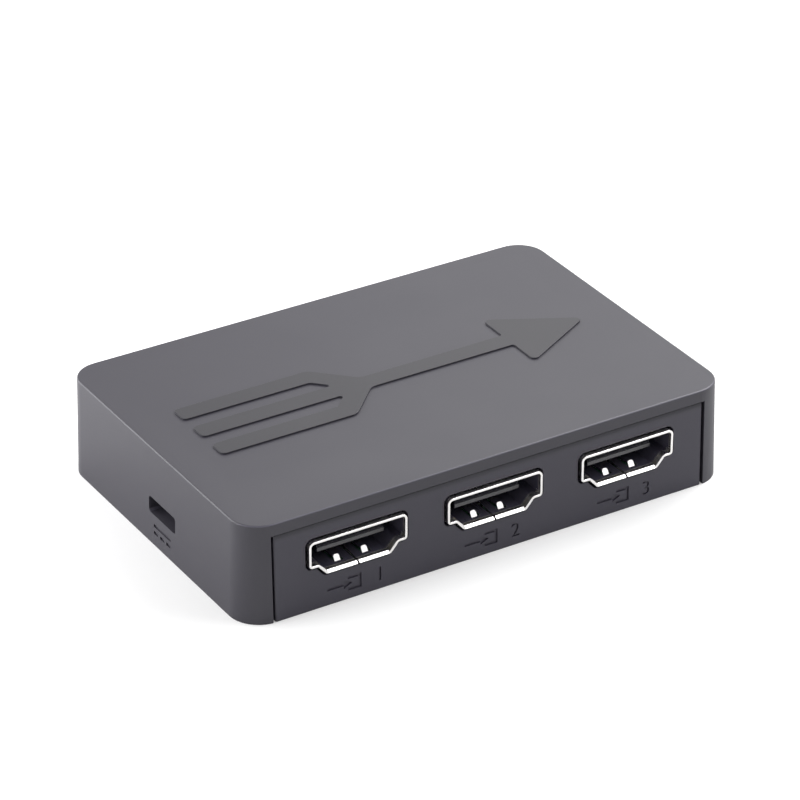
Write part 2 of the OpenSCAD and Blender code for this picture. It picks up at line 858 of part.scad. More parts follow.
module power_shell() {
    color("#b9b8b2") at_power() {
        difference() {
            run_back(0, power_d) polygon(power_edge(0));
            run_back(-past, power_d + past) polygon(power_edge(-power_sheet_t));
            box([-seam_w / 2, -past, -past], [seam_w / 2, power_d + past, 2 * power_sheet_t]);
            box(
                [-power_foot_w, power_block_front, -past],
                [power_foot_w, power_d + past, power_sheet_t + block_gap]
            );
        }
        power_leg_places()
            box(
                [-power_sheet_t / 2, -leg_w / 2, -board_t - leg_out],
                [power_sheet_t / 2, leg_w / 2, power_h / 2]
            );
    }
}

module power_tongue() {
    rail = power_tongue_z - power_tongue_t / 2;
    color("#232427") at_power() difference() {
        union() {
            run_back(power_block_front, power_block_back) polygon(power_edge(-power_sheet_t - block_gap));
            blade(power_tongue_w, power_tongue_t, power_tongue_z, power_tongue_tip, power_block_back,
                power_tongue_bevel);
            box(
                [-power_foot_w / 2 + power_r, power_block_front + block_gap, 0],
                [power_foot_w / 2 - power_r, power_block_back, power_tongue_z]
            );
        }
        box(
            [-power_tongue_w / 2, power_block_front - past, rail - contact_t],
            [power_tongue_w / 2, power_block_back + past, rail]
        );
    }
}

module power_contacts() {
    rail = power_tongue_z - power_tongue_t / 2;
    color("#c9a24d") at_power()
        for (x = row_places(power_contact_count, power_pitch))
            translate([x, 0, 0])
            contact_strip(rail - contact_t, power_tongue_tip + power_tongue_bevel, power_block_back);
}

// Select button and the switch behind it
module select_button() {
    face = panel_face + button_proud;
    dish_r = (button_r * button_r + dish_h * dish_h) / (2 * dish_h);
    rim = dish_h;
    color("#2b2b2f") at_button() difference() {
        union() {
            translate([0, 0, flange_back]) cylinder(r = flange_r, h = flange_t);
            translate([0, 0, flange_back]) cylinder(r = button_r, h = face - rim - flange_back);
            translate([0, 0, face - rim]) cylinder(r1 = button_r, r2 = button_r - rim, h = rim);
        }
        translate([0, 0, face + dish_r - dish_h]) sphere(dish_r - rim);
    }
}

module switch_body() {
    color("#1c1c1f") difference() {
        translate([-socket_pitch, 0, board_top])
            box([-switch_s / 2, switch_face - switch_d, 0], [switch_s / 2, switch_face, switch_s]);
        at_button() translate([0, 0, chamber_floor]) cylinder(r = chamber_r, h = chamber_d + past);
    }
}

// Sheet metal plate that closes the switch, with a tab folded down each side
module switch_plate() {
    tab_d = switch_d / 2;
    color("#bfc0c2") difference() {
        translate([-socket_pitch, 0, board_top]) {
            box([-switch_s / 2, switch_face, 0], [switch_s / 2, plate_face, switch_s]);
            for (sx = [0, 1])
                mirror([sx, 0, 0])
                box(
                    [switch_s / 2, switch_face - tab_d, switch_s / 4],
                    [switch_s / 2 + plate_t, plate_face, switch_s * 3 / 4]
                );
        }
        at_button() translate([0, 0, switch_face - past])
            cylinder(r = plunger_r + button_gap, h = plate_t + 2 * past);
    }
}

module switch_plunger() {
    collar_r = (plunger_r + chamber_r) / 2;
    collar_t = chamber_d / 3;
    collar_back = switch_face - rest_gap - collar_t;
    nub_r = plunger_r * 2 / 3;
    color("#b9472f") at_button() {
        translate([0, 0, collar_back]) cylinder(r = plunger_r, h = plunger_end - collar_back);
        translate([0, 0, collar_back]) cylinder(r = collar_r, h = collar_t);
        translate([0, 0, chamber_floor + dome_h + rest_gap])
            cylinder(r = nub_r, h = chamber_d - dome_h - 2 * rest_gap);
    }
}

// Snap dome: a thin cap of a sphere that rests on the chamber's floor
module switch_dome() {
    ball_r = (dome_r * dome_r + dome_h * dome_h) / (2 * dome_h);
    color("#d0d0d0") at_button() translate([0, 0, chamber_floor]) intersection() {
        translate([0, 0, dome_h - ball_r]) difference() {
            sphere(ball_r);
            sphere(ball_r - dome_t);
        }
        cylinder(r = dome_r, h = dome_h);
    }
}

module switch_pin_places() {
    for (sx = [-1, 1], y = [0.25, 0.75])
        translate([-socket_pitch + sx * switch_s / 3, switch_face - switch_d * y, 0]) children();
}

module switch_pins() {
    color("#c8c8c6") switch_pin_places()
        box([-lead_w / 2, -lead_w / 2, board_z - leg_out], [lead_w / 2, lead_w / 2, board_top]);
}

// Three lamp chips on the board, and the clear moulding that leads their light to the panel
module light_guide() {
    bar_back = board_edge - guide_d;
    bar_l = 2 * lamp_pitch + 4 * guide_r;
    foot_l = guide_r;
    color("#dfe6ea") {
        at_lamps() translate([0, panel_face, button_z]) facing_back()
            rotate_extrude() domed_section(guide_r, guide_proud, panel_face - bar_back);
        translate([socket_pitch, 0, 0]) {
            box([-bar_l / 2, bar_back, board_top + guide_lift], [bar_l / 2, board_edge, button_z + guide_r]);
            for (sx = [0, 1])
                mirror([sx, 0, 0])
                box(
                    [bar_l / 2 - foot_l, bar_back, board_top],
                    [bar_l / 2, board_edge, board_top + guide_lift]
                );
        }
    }
}

module indicator_lamps() {
    color("#f2efdc") at_lamps()
        translate([0, board_edge - guide_d / 2, board_top])
        box([-lamp_l / 2, -lamp_w / 2, 0], [lamp_l / 2, lamp_w / 2, lamp_h]);
}

// Chips and their gull-wing leads
module chip_body(l, w) {
    tilt = chip_h / 8;
    translate([0, 0, board_top + chip_gap]) intersection() {
        across(l) polygon([
            [-w / 2 + tilt, 0], [w / 2 - tilt, 0], [w / 2, chip_h / 2],
            [w / 2 - tilt, chip_h], [-w / 2 + tilt, chip_h], [-w / 2, chip_h / 2]
        ]);
        run_back(-w / 2, w / 2) polygon([
            [-l / 2 + tilt, 0], [l / 2 - tilt, 0], [l / 2, chip_h / 2],
            [l / 2 - tilt, chip_h], [-l / 2 + tilt, chip_h], [-l / 2, chip_h / 2]
        ]);
    }
}

// Row of leads along a chip's edge at y = edge, pointing to +Y
module lead_row(count, pitch, edge) {
    shelf = chip_gap + chip_h / 2;
    knee = lead_reach / 3;
    for (x = row_places(count, pitch))
        translate([x, edge, board_top])
        across(lead_w) polygon([
            [0, shelf - lead_t / 2], [0, shelf + lead_t / 2], [knee, shelf + lead_t / 2],
            [knee + lead_t, lead_t], [lead_reach, lead_t], [lead_reach, 0],
            [knee, 0], [knee - lead_t, shelf - lead_t / 2]
        ]);
}

module video_chip() {
    color("#202022") chip_body(chip_s, chip_s);
}

module video_chip_leads() {
    color("#c4c4c0")
        for (turn = [0 : 90 : 270]) rotate(turn) lead_row(chip_lead_count, chip_pitch, chip_s / 2);
}

module control_chip() {
    color("#202022") translate([-control_x, 0, 0]) chip_body(control_l, control_w);
}

module control_chip_leads() {
    color("#c4c4c0") translate([-control_x, 0, 0])
        for (turn = [0, 180]) rotate(turn) lead_row(control_lead_count, control_pitch, control_w / 2);
}

// Crystal in a can with round ends, on a flanged base
module crystal() {
    color("#c9c9c4") translate([crystal_x, 0, board_top]) {
        stadium(crystal_l, crystal_w, 2 * crystal_flange);
        stadium(crystal_l - 2 * crystal_flange, crystal_w - 2 * crystal_flange, crystal_h);
    }
}

module stadium(l, w, h) {
    linear_extrude(h) {
        square([l - w, w], center = true);
        for (sx = [-1, 1]) translate([sx * (l - w) / 2, 0]) circle(w / 2);
    }
}

// Voltage regulator beside the power socket, with a heat tab and three leads
module regulator() {
    tab_w = regulator_l / 2;
    color("#2a2a2c") translate([regulator_inset - board_l / 2, power_y + regulator_behind, board_top]) {
        box([-regulator_l / 2, -regulator_w / 2, 0], [regulator_l / 2, regulator_w / 2, regulator_h]);
        box([-tab_w / 2, regulator_w / 2, 0], [tab_w / 2, regulator_w / 2 + lead_reach, lead_t]);
        for (i = [-1 : 1])
            translate([i * regulator_l / 3, 0, 0])
            box([-lead_w, -regulator_w / 2 - lead_reach, 0], [lead_w, -regulator_w / 2, lead_t]);
    }
}

// Electrolytic cans on square plastic bases, in front of the select switch
module smoothing_capacitors() {
    base_s = 2 * (can_r + can_base_rim);
    color("#a9abad")
        for (side = [-1, 1])
            translate([-socket_pitch + side * (base_s + can_gap) / 2, can_y, board_top]) {
                translate([-base_s / 2, -base_s / 2, 0]) cube([base_s, base_s, can_base_h]);
                translate([0, 0, can_base_h]) cylinder(r = can_r - can_groove, h = can_groove);
                translate([0, 0, can_base_h + can_groove])
                    cylinder(r = can_r, h = can_h - can_base_h - can_groove);
            }
}

// Small chip parts: ceramic capacitors round the video chip, resistors behind each socket
module passive(h) {
    translate([-passive_w / 2, -passive_l / 2, board_top]) cube([passive_w, passive_l, h]);
}

module ceramic_capacitors() {
    ring = chip_s / 2 + lead_reach + passive_l;
    color("#b99a72") at_corners(ring, ring / 2) passive(ceramic_h);
}

module resistors() {
    color("#2d2d30")
        for (i = [1 : 3], x = row_places(resistor_count, 2 * passive_w))
            translate([(i - 2) * socket_pitch + x, -mouth_y + block_back + tail_l + passive_l, 0])
            passive(resistor_h);
}

top_cover();
base_tray();
case_screws();
circuit_board();
for (i = [1 : 3]) {
    at_input(i) socket_shell();
    at_input(i) socket_tongue();
    at_input(i) socket_contacts();
}
at_output() socket_shell();  // output_shell
at_output() socket_tongue();  // output_tongue
at_output() socket_contacts();  // output_contacts
power_shell();
power_tongue();
power_contacts();
select_button();
switch_body();
switch_plate();
switch_plunger();
switch_dome();
switch_pins();
light_guide();
indicator_lamps();
video_chip();
video_chip_leads();
control_chip();
control_chip_leads();
crystal();
regulator();
smoothing_capacitors();
ceramic_capacitors();
resistors();
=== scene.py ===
import json
from contextlib import contextmanager
from math import acos, atan2, cos, pi, radians, sin, tan

import bmesh
import bpy
from mathutils import Matrix, Vector


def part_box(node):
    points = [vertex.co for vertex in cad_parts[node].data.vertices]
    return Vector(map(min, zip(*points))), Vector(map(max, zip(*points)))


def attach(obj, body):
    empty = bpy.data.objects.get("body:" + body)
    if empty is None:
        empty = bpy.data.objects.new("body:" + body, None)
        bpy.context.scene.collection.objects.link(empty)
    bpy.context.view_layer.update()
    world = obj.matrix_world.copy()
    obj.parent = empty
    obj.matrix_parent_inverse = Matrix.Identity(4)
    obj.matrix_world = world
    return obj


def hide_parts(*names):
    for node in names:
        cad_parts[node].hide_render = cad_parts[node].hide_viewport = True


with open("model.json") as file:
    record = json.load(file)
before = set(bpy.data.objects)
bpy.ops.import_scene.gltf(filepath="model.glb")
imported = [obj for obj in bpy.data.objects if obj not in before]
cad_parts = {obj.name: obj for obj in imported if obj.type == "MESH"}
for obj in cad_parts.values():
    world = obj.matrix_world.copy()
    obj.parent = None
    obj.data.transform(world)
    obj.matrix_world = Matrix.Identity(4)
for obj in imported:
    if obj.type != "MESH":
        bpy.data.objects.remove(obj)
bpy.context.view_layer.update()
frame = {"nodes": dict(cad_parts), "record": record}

# Sizes below are in millimetres of the part's own frame, turned to metres by MM.
MM = 0.001


def reach(node):
    """Lowest and highest corner of a solid, in millimetres."""
    return [Vector(corner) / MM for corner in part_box(node)]


# The case, as the solids have it
CASE_HALF_L, CASE_HALF_W, CASE_H = reach("top_cover")[1]
DRAFT = radians(1.4)
PANEL_FOOT_Y, PANEL_TOP = reach("base_tray")[1].yz
SOCKET_LOW, SOCKET_HIGH = reach("input_3_shell")
SOCKET_PITCH = (SOCKET_LOW.x + SOCKET_HIGH.x) / 2
MOUTH_Y = -SOCKET_LOW.y
POWER_LOW, POWER_HIGH = reach("power_shell")
POWER_Y = (POWER_LOW.y + POWER_HIGH.y) / 2
SCREW_HIGH = reach("case_screws")[1]
BUTTON_LOW, BUTTON_HIGH = reach("select_button")

# The record's slot for each solid, and the solids whose finish differs from the rest of their slot
SLOTS = {row["node"]: row["material_slot"] for row in frame["record"]["subparts"]}
OWN_FINISH = {"resistors": "resistor_chip", "power_shell": "shaded_power_metal"}

# The camera, from the photograph's vanishing lines
VIEW_AZIMUTH = radians(-31.37)
VIEW_ELEVATION = radians(29.563)
VIEW_DISTANCE = 536.84
VIEW_RIGHT = 0.569
VIEW_UP = 9.441
LENS, SENSOR = 176.93, 36
CLIP_NEAR, CLIP_FAR = 10, 50000

# The white round the object, the floor's own glow near and far, and lamps: place, target, side and power
AMBIENT = 0.5
FLOOR_GLOW, FAR_GLOW = 0.17, 0.4
LAMPS = {
    "key": ((220, -160, 300), (0, 0, 8), 200, 0.61),
    "right": ((250, 30, 250), (0, 0, 8), 200, 0.86),
    "sheen": ((130, 140, 150), (0, 0, 8), 140, 0.085),
    "back_left": ((-110, 130, 60), (-30, 10, 8), 110, 0.22),
    "left": ((-200, 60, 90), (-37, 10, 4), 160, 0.32),
}

# Softened edges, and the angle from which an edge is softened or shaded as a sharp one
CASE_EDGE = 0.12
TRAY_EDGE = 0.05
ROOF_SIGN_EDGE = 0.05
LIP_EDGE, POWER_LIP_EDGE = 0.08, 0.06
SOFTEN_FROM = radians(40)
SHARP = radians(35)

# How close to a plane a point counts as on it, and how close two points are merged
NEAR = 0.01
MERGE = 0.001

# The seam over a socket panel: how far the panel's top is lifted to thin it, and how far down it is shaded
SEAM_LIFT = 0.2
SEAM_SHADE = 0.8

# The roof's dish, in which its sign stands, and how far its border passes over the roof
DISH_DEPTH, DISH_STEPS = 0.25, 8
DISH_FLAT_L, DISH_FLAT_W = 31.5, 11.5
DISH_HALF_L, DISH_HALF_W = 36.3, 23.8
DISH_OVER = 0.004

# The depth of the signs sunk in the walls, and how far a cutter reaches out of the body that it cuts
SIGN_DEPTH = 0.2
CUT_OUT = 1

# The video sockets: a shell's height, sheet and sloped lip, and where a spring finger has its painted
# highlight spot
SOCKET_H = 5.25
SHEET = 0.35
LEAD_RISE, LEAD_IN = 0.27, 0.34
SPOT_X, SPOT_Y = 2.07, 2.18
SPOT_HALF_X, SPOT_HALF_Y = 0.45, 0.31

# Finishes: sizes of slow changes, the painted shade inside the sockets, how dark the painted shade at panel
# seams and the roof sign's own face are, and the painted highlight on upper edges
CLOUD, RUBBED, SMEAR = 9, 14, 4
SOCKET_SHADE = (0.075, 0.07, 0.1, 1)
SHADE_AND_SIGN_TONE = 0.5
HIGHLIGHT_TONE, HIGHLIGHT_GLOSS = 2.2, 0.3
HIGHLIGHT_TILT = (0.2, 0.4)


class Wire:
    """An output socket of a node tree: arithmetic on it adds Math nodes, and node() adds any other node."""

    def __init__(self, tree, socket=None):
        self.tree = tree
        self.socket = socket

    def node(self, kind, inputs=None, output=0, **settings):
        """Adds a node with settings and its sockets' values or links, in a list where one takes several."""
        made = self.tree.nodes.new(kind)
        for name, value in settings.items():
            setattr(made, name, value)
        for key, value in (inputs or {}).items():
            socket = pick(made.inputs, key)
            wires = value if isinstance(value, list) else [value]
            for wire in wires:
                if isinstance(wire, Wire):
                    self.tree.links.new(wire.socket, socket)
                else:
                    socket.default_value = wire
        return Wire(self.tree, pick(made.outputs, output) if made.outputs else None)

    def out(self, key):
        """Another output of the same node."""
        return Wire(self.tree, pick(self.socket.node.outputs, key))

    def maths(self, operation, *terms):
        return self.node("ShaderNodeMath", dict(enumerate(terms)), operation=operation)

    def __add__(self, other):
        return self.maths("ADD", self, other)

    def __sub__(self, other):
        return self.maths("SUBTRACT", self, other)

    def __rsub__(self, other):
        return self.maths("SUBTRACT", other, self)

    def __mul__(self, other):
        return self.maths("MULTIPLY", self, other)

    def __gt__(self, other):
        return self.maths("GREATER_THAN", self, other)

    def __lt__(self, other):
        return self.maths("LESS_THAN", self, other)

    def __truediv__(self, other):
        return self.maths("DIVIDE", self, other)

    def __pow__(self, other):
        return self.maths("POWER", self, other)

    def __abs__(self):
        return self.maths("ABSOLUTE", self)

    __radd__ = __add__
    __rmul__ = __mul__

    def between(self, low, high):
        """0 below low, 1 above high, and smooth in between."""
        return self.node(
            "ShaderNodeMapRange",
            {"Value": self, "From Min": low, "From Max": high},
            interpolation_type="SMOOTHSTEP",
        )

    def parts(self):
        """The three parts of the vector that this wire carries."""
        split = self.node("ShaderNodeSeparateXYZ", {"Vector": self})
        return [split.out(axis) for axis in "XYZ"]

    def axes(self):
        """The three coordinates of the place that this wire carries, in millimetres."""
        return [part / MM for part in self.parts()]

    def noise(self, size, detail=2.0, stretch=(1, 1, 1)):
        """Noise with features about size millimetres wide, on the place that this wire carries."""
        place = self.node("ShaderNodeMapping", {"Vector": self, "Scale": stretch})
        return self.node(
            "ShaderNodeTexNoise",
            {"Vector": place, "Scale": 1 / (size * MM), "Detail": detail},
        )

    def swing(self, width, middle=0.5):
        """This noise as a change of that width, which is zero where the noise is at its middle."""
        return (self - middle) * width

    def mix(self, a, b):
        """Colour a where this wire is 0 and colour b where it is 1."""
        return self.node("ShaderNodeMix", {"Factor": self, "A": a, "B": b}, output="Result", data_type="RGBA")

    def tint(self, colour, dark, light):
        """The colour times dark where this wire is 0 and times light where it is 1."""
        return self.mix(scaled(colour, dark), scaled(colour, light))

    def bump(self, depth):
        """Normal of a surface that this wire raises by up to depth millimetres."""
        return self.node("ShaderNodeBump", {"Height": self, "Distance": depth * MM, "Strength": 1.0})


def pick(sockets, key):
    """A socket by its number, its identifier or the name of one that is in use."""
    if isinstance(key, int):
        return sockets[key]
    return next(s for s in sockets if s.identifier == key or (s.name == key and s.enabled))


def rgb(level, warm=0.0):
    """Grey of that level, warmer above 0 and cooler below it."""
    return (level * (1 + warm), level, level * (1 - warm), 1)


def scaled(colour, factor):
    return (*(channel * factor for channel in colour[:3]), 1)


def bare_bench(owner):
    """The cleared node tree of a material or the world, to add nodes to."""
    owner.use_nodes = True
    owner.node_tree.nodes.clear()
    return Wire(owner.node_tree)


def finish(name, paint, **constants):
    """A material: constants go straight on the shader's sockets, and paint(place) gives what varies."""
    material = bpy.data.materials.new(name)
    bench = bare_bench(material)
    place = bench.node("ShaderNodeTexCoord", output="Object")
    values = {key.replace("_", " "): value for key, value in constants.items()}
    shader = bench.node("ShaderNodeBsdfPrincipled", {**values, **paint(place)})
    bench.node("ShaderNodeOutputMaterial", {"Surface": shader})
    return material


def moulded(name, colour, roughness, grain=0.22, depth=0.004, darker=None, handled=None, **constants):
    """Moulded plastic: eroded grain, clouds in the colour, patches rubbed smoother, and a painted highlight
    that makes upper edges pale.
    """

    def paint(place):
        cloud = place.noise(CLOUD, detail=3)
        speck = place.noise(grain)
        rubbed = place.noise(RUBBED, detail=4, stretch=(1, 1, 2))
        shade = (0.6 * cloud + 0.4 * speck).tint(colour, dark=0.93, light=1.07)
        gloss = roughness + rubbed.swing(0.07) + speck.swing(0.06)
        # Darker where given: painted shade at the tray's panel seams, and the roof sign's own darker face
        if darker:
            shade = darker(place).mix(shade, scaled(colour, SHADE_AND_SIGN_TONE))
        # A painted highlight: upper edges paler, and glossier
        if handled:
            edge = handled(place)
            shade = edge.mix(shade, scaled(colour, HIGHLIGHT_TONE))
            gloss = gloss * (1 - HIGHLIGHT_GLOSS * edge)
        return {"Base Color": shade, "Roughness": gloss, "Normal": speck.bump(depth)}

    return finish(name, paint, **constants)


def polished(name, colour, roughness, stretch=(1, 1, 1), size=0.6, depth=0.0006, painted_shade=None):
    """Plated or rolled metal: fine streaks along one direction, smears in the gloss, and painted shade that
    makes places dark and dull.
    """

    def paint(place):
        streak = place.noise(size, detail=3, stretch=stretch)
        smear = place.noise(SMEAR)
        shade = streak.tint(colour, dark=0.94, light=1.03)
        metal = 1
        # Painted shade: places darker and less metallic
        if painted_shade:
            shade_mask = painted_shade(place)
            shade = shade_mask.mix(shade, SOCKET_SHADE)
            metal = 1 - 0.7 * shade_mask
        return {
            "Base Color": shade,
            "Metallic": metal,
            "Roughness": roughness + smear.swing(0.1, middle=0.4) + streak.swing(0.05),
            "Normal": streak.bump(depth),
        }

    return finish(name, paint)


def handled_edge(place):
    """Where a highlight is painted: 1 on rounded edges that face up and to the front or the back, 0 on level
    and upright faces.
    """
    _, across, rise = place.node("ShaderNodeNewGeometry", output="Normal").parts()
    return rise.between(*HIGHLIGHT_TILT) * abs(across).between(*HIGHLIGHT_TILT)


def socket_inside(place):
    """Painted shade: 1 inside the video sockets, 0 at their lips and on painted highlight spots on the spring
    fingers.
    """
    skin, lower_h, lower_lip = 0.2, 2, 0.5
    lip_fade, spot_fade = (0.35, 0.6), (0.8, 1.15)
    x, y, z = place.axes()
    half_w, low, high = (SOCKET_HIGH.x - SOCKET_LOW.x) / 2, SOCKET_HIGH.z - SOCKET_H, SOCKET_HIGH.z
    side = abs(x.maths("WRAP", x, SOCKET_PITCH / 2, -SOCKET_PITCH / 2))
    deep = MOUTH_Y - abs(y)
    within = (side < half_w - skin) * (z > low + skin) * (z < high - skin)
    lower = z < low + lower_h
    spot = abs((side - SPOT_X) / SPOT_HALF_X) ** 2 + abs((deep - SPOT_Y) / SPOT_HALF_Y) ** 2
    return within * (deep - lower_lip * lower).between(*lip_fade) * spot.between(*spot_fade)


def roof_sign(place):
    """1 on the face of the sign that stands in the roof's dish, 0 round it."""
    x, y, z = place.axes()
    return (abs(x) < DISH_FLAT_L) * (abs(y) < DISH_FLAT_W) * (z > CASE_H - DISH_DEPTH / 2)


def panel_seam(place):
    """1 at the top of the socket panels, in the shade of the cover, and 0 a little below."""
    _, _, z = place.axes()
    return z.between(PANEL_TOP - SEAM_SHADE, PANEL_TOP + SEAM_LIFT)


def tinned_ends(name, colour, node):
    """Small chip parts that lie along Y in two rows or one: a body of that colour with tinned ends."""
    half_l, bare_half_l = 0.8, 0.5
    middle_y = max(abs(corner.y) for corner in reach(node)) - half_l

    def paint(place):
        _, y, _ = place.axes()
        end = abs(abs(y) - middle_y) > bare_half_l
        speck = place.noise(size=0.15)
        body = speck.tint(colour, dark=0.85, light=1.1)
        return {
            "Base Color": end.mix(body, rgb(0.62, 0.02)),
            "Metallic": end,
            "Roughness": 0.55 - end * 0.2 + speck.swing(0.2),
            "Normal": speck.bump(0.005),
        }

    return finish(name, paint)


def board_mask(name):
    """Solder mask over copper: tracks show as lighter lines, with the glass weave faint under them."""
    track_pitch = 4
    deep_green, green, track_green = (0.012, 0.09, 0.045, 1), (0.018, 0.12, 0.06, 1), (0.05, 0.2, 0.09, 1)

    def paint(place):
        tracks = place.node(
            "ShaderNodeTexBrick",
            {"Vector": place, "Scale": 1 / (track_pitch * MM), "Mortar Size": 0.05, "Mortar Smooth": 0.2},
            output="Fac",
            offset=0.37,
        )
        weave = place.noise(size=0.35, detail=1, stretch=(1, 0.4, 1))
        mask = place.noise(size=6).mix(deep_green, green)
        return {
            "Base Color": tracks.mix(mask, track_green),
            "Roughness": 0.32 + weave.swing(0.12),
            "Normal": (tracks + weave * 0.2).bump(0.03),
        }

    return finish(name, paint, Coat_Weight=0.3, Coat_Roughness=0.15)


def can_metal(name):
    """Aluminium cans on dark plastic bases, with turning marks up the side."""
    base_top = 5.5

    def paint(place):
        _, _, z = place.axes()
        metal = z > base_top
        turned = place.noise(size=0.25, stretch=(0.2, 0.2, 3))
        return {
            "Base Color": metal.mix(rgb(0.02), turned.mix(rgb(0.55), rgb(0.68))),
            "Metallic": metal,
            "Roughness": 0.5 - metal * 0.2 + turned.swing(0.15),
            "Normal": turned.bump(0.004),
        }

    return finish(name, paint)


def make_finishes():
    """One material for each of the record's slots, and for the solids with a finish of their own."""
    plastics = {
        # The cover: a painted highlight on its upper edges, and its roof sign's face a darker tone
        "cover_plastic": dict(
            colour=(0.030, 0.028, 0.038, 1), roughness=0.46, darker=roof_sign, handled=handled_edge
        ),
        # The tray: painted shade along the top of its socket panels
        "tray_plastic": dict(colour=(0.030, 0.0275, 0.041, 1), roughness=0.42, darker=panel_seam),
        "tongue_plastic": dict(
            colour=(0.011, 0.01, 0.015, 1), roughness=0.22, grain=0.12, depth=0.002, Specular_IOR_Level=1.0
        ),
        "button_plastic": dict(colour=(0.027, 0.025, 0.035, 1), roughness=0.36, grain=0.18, depth=0.003),
        "switch_plastic": dict(colour=rgb(0.02), roughness=0.45),
        "plunger_plastic": dict(colour=(0.42, 0.06, 0.03, 1), roughness=0.4),
        "clear_plastic": dict(
            colour=(0.86, 0.9, 0.9, 1), roughness=0.2, grain=0.4, depth=0.003,
            Transmission_Weight=0.85, IOR=1.49,
        ),
        "lamp_resin": dict(colour=(0.82, 0.78, 0.55, 1), roughness=0.3, grain=0.2, depth=0.002),
        "chip_resin": dict(colour=rgb(0.016), roughness=0.55, grain=0.12, depth=0.006),
    }
    metals = {
        "screw_steel": dict(colour=rgb(0.09), roughness=0.38, stretch=(1, 1, 4)),
        # Video shells: painted shade inside the sockets, with lips and spring-finger spots left bright as
        # painted highlights
        "shell_metal": dict(colour=rgb(0.86, 0.02), roughness=0.28, stretch=(3, 0.3, 3), painted_shade=socket_inside),
        # The power shell: the same plated metal painted dark, as painted shade inside its slot
        "shaded_power_metal": dict(colour=rgb(0.2), roughness=0.35, stretch=(0.3, 3, 3)),
        "contact_metal": dict(colour=(0.83, 0.6, 0.24, 1), roughness=0.2, stretch=(3, 0.3, 3)),
        "switch_metal": dict(colour=rgb(0.7), roughness=0.25),
        "lead_metal": dict(colour=rgb(0.68), roughness=0.3, size=0.3),
    }
    return {
        **{name: moulded(name, **look) for name, look in plastics.items()},
        **{name: polished(name, **look) for name, look in metals.items()},
        "board_mask": board_mask("board_mask"),
        "can_metal": can_metal("can_metal"),
        "ceramic_chip": tinned_ends("ceramic_chip", (0.42, 0.27, 0.13, 1), "ceramic_capacitors"),
        "resistor_chip": tinned_ends("resistor_chip", rgb(0.025), "resistors"),
    }


def finish_of(node):
    return OWN_FINISH.get(node, SLOTS[node])


def coat(piece, material):
    """Gives the whole piece one material."""
    piece.data.materials.clear()
    piece.data.materials.append(material)


def new_piece(name, data):
    piece = bpy.data.objects.new(name, data)
    bpy.context.scene.collection.objects.link(piece)
    return piece


def drop(piece):
    mesh = piece.data
    bpy.data.objects.remove(piece)
    bpy.data.meshes.remove(mesh)


@contextmanager
def opened(mesh):
    """The mesh's shape, to change in place."""
    shape = bmesh.new()
    shape.from_mesh(mesh)
    yield shape
    shape.to_mesh(mesh)
    shape.free()


def piece_of(name, shape):
    """A new piece with that shape, which is used up."""
    mesh = bpy.data.meshes.new(name)
    shape.to_mesh(mesh)
    shape.free()
    return new_piece(name, mesh)


def turn_out(shape):
    """Makes all faces of a closed shape point outwards."""
    bmesh.ops.recalc_face_normals(shape, faces=shape.faces)


def evaluated(piece):
    """The piece's mesh with its modifiers made plain."""
    graph = bpy.context.evaluated_depsgraph_get()
    return bpy.data.meshes.new_from_object(piece.evaluated_get(graph))


def settle(piece):
    """Makes the piece's modifiers part of its mesh."""
    made = evaluated(piece)
    old = piece.data
    piece.modifiers.clear()
    piece.data = made
    bpy.data.meshes.remove(old)
    made.name = piece.name


def merged_copy(node, name):
    """A copy of a CAD node's mesh, its loose triangles merged and its flat faces made whole."""
    shape = bmesh.new()
    shape.from_mesh(frame["nodes"][node].data)
    bmesh.ops.remove_doubles(shape, verts=shape.verts, dist=MERGE * MM)
    bmesh.ops.dissolve_limit(
        shape, angle_limit=radians(0.2), verts=shape.verts, edges=shape.edges, delimit={"NORMAL"}
    )
    return piece_of(name, shape)


def soften(piece, width, chosen, segments=2):
    """Rounds the sharp edges whose two ends are both chosen."""
    with opened(piece.data) as shape:
        edges = [
            edge
            for edge in shape.edges
            if edge.is_manifold
            and edge.calc_face_angle() > SOFTEN_FROM
            and all(chosen(vertex.co / MM) for vertex in edge.verts)
        ]
        bmesh.ops.bevel(
            shape,
            geom=edges,
            offset=width * MM,
            offset_type="OFFSET",
            segments=segments,
            profile=0.5,
            affect="EDGES",
            clamp_overlap=True,
        )


def smooth(piece):
    """Smooth shading that keeps flat faces flat and sharp edges sharp."""
    piece.data.shade_smooth()
    with opened(piece.data) as shape:
        for edge in shape.edges:
            edge.smooth = edge.is_manifold and edge.calc_face_angle() < SHARP
    weights = piece.modifiers.new("flat_faces", "WEIGHTED_NORMAL")
    weights.keep_sharp = True
    weights.weight = 100


def carve(piece, cutter):
    """Cuts the cutter out of the piece and removes the cutter."""
    cut = piece.modifiers.new("cut", "BOOLEAN")
    cut.operation = "DIFFERENCE"
    cut.solver = "EXACT"
    cut.object = cutter
    settle(piece)
    drop(cutter)


def prism(name, outlines, low, high):
    """Upright blocks on flat outlines in millimetres, from height low to height high."""
    shape = bmesh.new()
    for outline in outlines:
        face = shape.faces.new([shape.verts.new((x * MM, y * MM, low * MM)) for x, y in outline])
        raised = bmesh.ops.extrude_face_region(shape, geom=[face])["geom"]
        lifted = [part for part in raised if isinstance(part, bmesh.types.BMVert)]
        bmesh.ops.translate(shape, verts=lifted, vec=(0, 0, (high - low) * MM))
    turn_out(shape)
    return piece_of(name, shape)


